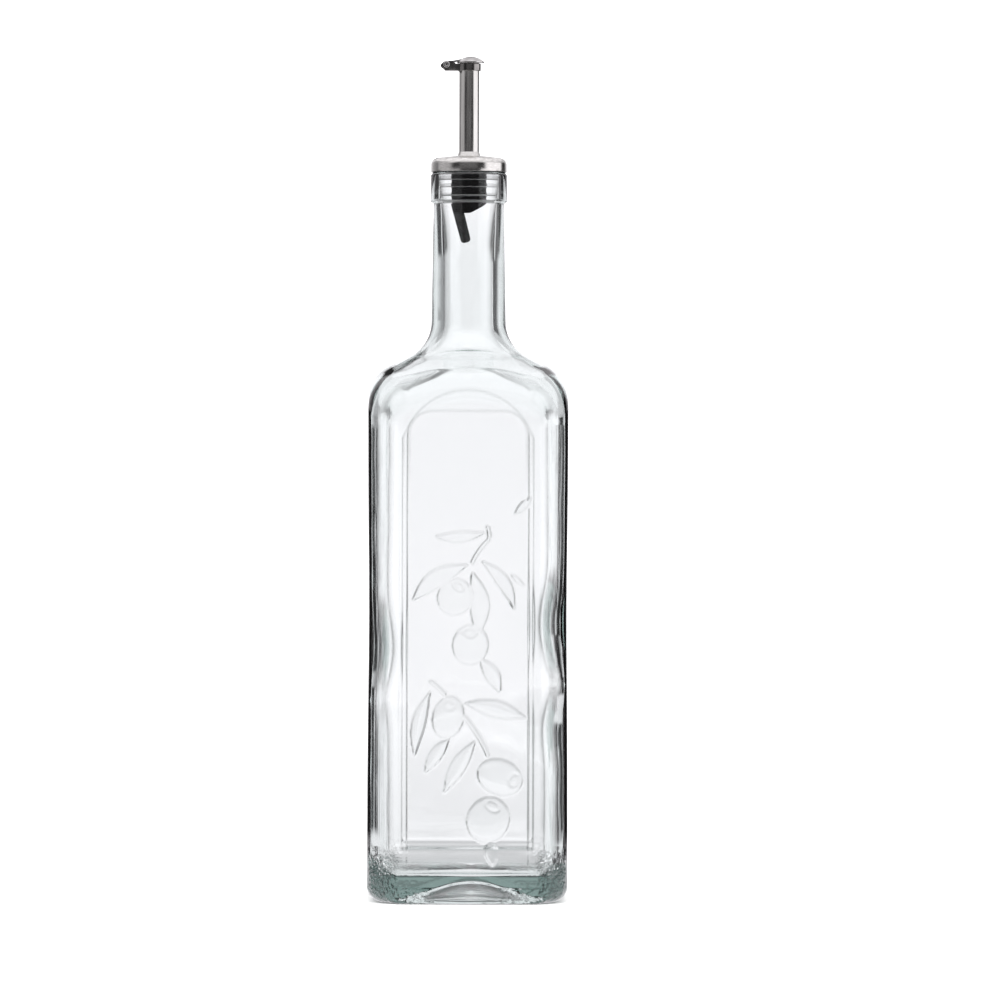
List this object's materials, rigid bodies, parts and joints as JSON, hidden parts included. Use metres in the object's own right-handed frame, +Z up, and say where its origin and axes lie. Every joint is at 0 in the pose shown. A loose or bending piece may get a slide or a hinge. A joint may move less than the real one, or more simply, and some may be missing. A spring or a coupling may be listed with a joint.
{
  "type": "oil bottle",
  "caption": "Tall square clear-glass bottle for oil or vinegar, with a long round neck and a lift-out steel pourer whose hinged flap falls open when the bottle is tipped.",
  "frame": {"origin": "centre of the bottle's base, on the surface it stands on", "axes": "+Z up the bottle's axis, -Y out of the panelled front face, -X towards the flap's hinge"},
  "size_m": [0.078, 0.078, 0.33],
  "materials": {
    "clear_glass": "clear pressed soda-lime glass with a faint green in its thick base",
    "black_plastic": "moulded black plastic, satin",
    "soft_seal": "milky translucent soft plastic",
    "brushed_steel": "stainless steel, brushed round the axis",
    "polished_steel": "stainless steel sheet, polished"
  },
  "bodies": {
    "bottle": {"glass_bottle": "clear_glass"},
    "pourer": {"stopper_core": "black_plastic", "seal_ring_upper": "soft_seal", "seal_ring_middle": "soft_seal", "seal_ring_lower": "soft_seal", "breather_tube": "black_plastic", "cover_cap": "brushed_steel", "spout_tube": "brushed_steel", "hinge_strap": "polished_steel", "hinge_pin": "polished_steel"},
    "flap": {"flap_lid": "polished_steel"}
  },
  "joints": [
    {"name": "pourer_lift", "type": "slide", "parent": "bottle", "child": "pourer", "axis": [0, 0, 1], "range_m": [0, 0.045]},
    {"name": "flap_hinge", "type": "hinge", "parent": "pourer", "child": "flap", "pos_m": [-0.00895, 0, 0.3268], "axis": [0, -1, 0], "range_deg": [0, 100]}
  ]
}
